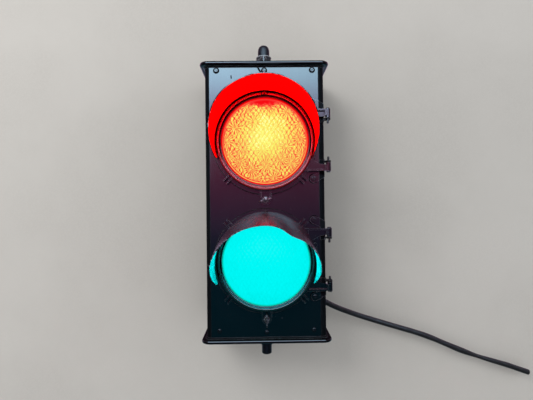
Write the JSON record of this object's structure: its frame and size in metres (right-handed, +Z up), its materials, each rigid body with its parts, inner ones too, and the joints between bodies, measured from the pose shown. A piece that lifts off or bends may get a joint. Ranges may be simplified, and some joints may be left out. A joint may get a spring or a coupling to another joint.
{
  "type": "traffic signal head",
  "caption": "Two-aspect road traffic signal head with hinged lens doors, cut-away visors, end spigots and a supply cable.",
  "frame": {"origin": "on the vertical mounting axis through both spigots, level with the underside of the bottom cap", "axes": "front faces -Y, +X is the hinge side (right seen from the front), +Z up"},
  "size_m": [0.8623, 0.3719, 0.8717],
  "materials": {
    "body_black": "satin black enamel over sheet aluminium",
    "brass_bush": "turned brass",
    "cable_black": "black rubber-sheathed cable",
    "cap_black": "satin black enamel over cast aluminium",
    "dark_screw": "painted-over steel screw",
    "filament": "glass stem and tungsten wire",
    "fitting_steel": "blackened galvanised steel",
    "lamp_brass": "rolled brass lamp cap",
    "lamp_glass": "clear blown glass",
    "latch_metal": "nickel-plated cast wing screw",
    "lens_green": "moulded prismatic signal lens, blue-green",
    "lens_red": "moulded prismatic signal lens, red",
    "plate_zinc": "passivated sheet steel",
    "porcelain": "white glazed porcelain",
    "reflector_alu": "spun and anodised bright aluminium",
    "ring_black": "satin black enamel over cast aluminium",
    "rubber": "moulded EPDM rubber",
    "terminal_plastic": "moulded thermoset",
    "visor_black": "black enamel on sheet aluminium, slightly matt inside",
    "wire_pvc": "PVC insulated single wires",
    "zinc_screw": "zinc-plated steel, dulled"
  },
  "bodies": {
    "housing": {"bottom_cap": "cap_black", "bottom_cap_gasket": "rubber", "bottom_cap_screws": "dark_screw", "bottom_lock_nut": "fitting_steel", "bottom_spigot": "fitting_steel", "bottom_spigot_washer": "fitting_steel", "cable": "cable_black", "cable_grommet": "rubber", "hinge_brackets": "ring_black", "hinge_pins": "dark_screw", "hinge_screws": "dark_screw", "housing_shell": "body_black", "lamp_wires": "wire_pvc", "latch_bushes": "brass_bush", "lower_lamp_holder": "porcelain", "lower_reflector": "reflector_alu", "mounting_plate": "plate_zinc", "plate_nuts": "zinc_screw", "plate_studs": "plate_zinc", "reflector_nuts": "zinc_screw", "reflector_studs": "zinc_screw", "supply_wires": "wire_pvc", "terminal_block": "terminal_plastic", "top_cap": "cap_black", "top_cap_gasket": "rubber", "top_cap_screws": "dark_screw", "top_clamp_nut": "fitting_steel", "top_lock_nut": "fitting_steel", "top_plug": "fitting_steel", "top_spigot": "fitting_steel", "top_spigot_washer": "fitting_steel", "upper_lamp_holder": "porcelain", "upper_reflector": "reflector_alu"},
    "upper_door": {"upper_door_ring": "ring_black", "upper_door_seal": "rubber", "upper_lens": "lens_red", "upper_lens_gasket": "rubber", "upper_lens_clips": "plate_zinc", "upper_lens_clip_screws": "zinc_screw", "upper_visor": "visor_black", "upper_visor_screws": "zinc_screw"},
    "lower_door": {"lower_door_ring": "ring_black", "lower_door_seal": "rubber", "lower_lens": "lens_green", "lower_lens_gasket": "rubber", "lower_lens_clips": "plate_zinc", "lower_lens_clip_screws": "zinc_screw", "lower_visor": "visor_black", "lower_visor_screws": "zinc_screw"},
    "upper_latch": {"upper_latch_washer": "zinc_screw"},
    "lower_latch": {"lower_latch_washer": "zinc_screw"},
    "upper_wing": {"upper_wing_screw": "latch_metal"},
    "lower_wing": {"lower_wing_screw": "latch_metal"},
    "upper_lamp": {"upper_lamp_glass": "lamp_glass", "upper_lamp_cap": "lamp_brass", "upper_lamp_filament": "filament"},
    "lower_lamp": {"lower_lamp_glass": "lamp_glass", "lower_lamp_cap": "lamp_brass", "lower_lamp_filament": "filament"}
  },
  "joints": [
    {"name": "upper_door_hinge", "type": "hinge", "parent": "housing", "child": "upper_door", "pos_m": [0.146, -0.088, 0.465], "axis": [0, 0, 1], "range_deg": [0, 120]},
    {"name": "upper_latch_travel", "type": "slide", "parent": "upper_door", "child": "upper_latch", "axis": [0, -1, 0], "range_m": [0, 0.008]},
    {"name": "upper_wing_turn", "type": "hinge", "parent": "upper_latch", "child": "upper_wing", "pos_m": [0, -0.088, 0.3315], "axis": [0, -1, 0], "range_deg": [0, 2880]},
    {"name": "upper_lamp_turn", "type": "hinge", "parent": "housing", "child": "upper_lamp", "pos_m": [0, 0.03, 0.465], "axis": [0, -1, 0], "range_deg": [0, 1800]},
    {"name": "lower_door_hinge", "type": "hinge", "parent": "housing", "child": "lower_door", "pos_m": [0.146, -0.088, 0.19], "axis": [0, 0, 1], "range_deg": [0, 120]},
    {"name": "lower_latch_travel", "type": "slide", "parent": "lower_door", "child": "lower_latch", "axis": [0, -1, 0], "range_m": [0, 0.008]},
    {"name": "lower_wing_turn", "type": "hinge", "parent": "lower_latch", "child": "lower_wing", "pos_m": [0, -0.088, 0.0565], "axis": [0, -1, 0], "range_deg": [0, 2880]},
    {"name": "lower_lamp_turn", "type": "hinge", "parent": "housing", "child": "lower_lamp", "pos_m": [0, 0.03, 0.19], "axis": [0, -1, 0], "range_deg": [0, 1800]}
  ],
  "couplings": [
    {"joint": "upper_wing_turn", "follows": "upper_latch_travel", "rad_per_m": 6283},
    {"joint": "lower_wing_turn", "follows": "lower_latch_travel", "rad_per_m": 6283}
  ]
}
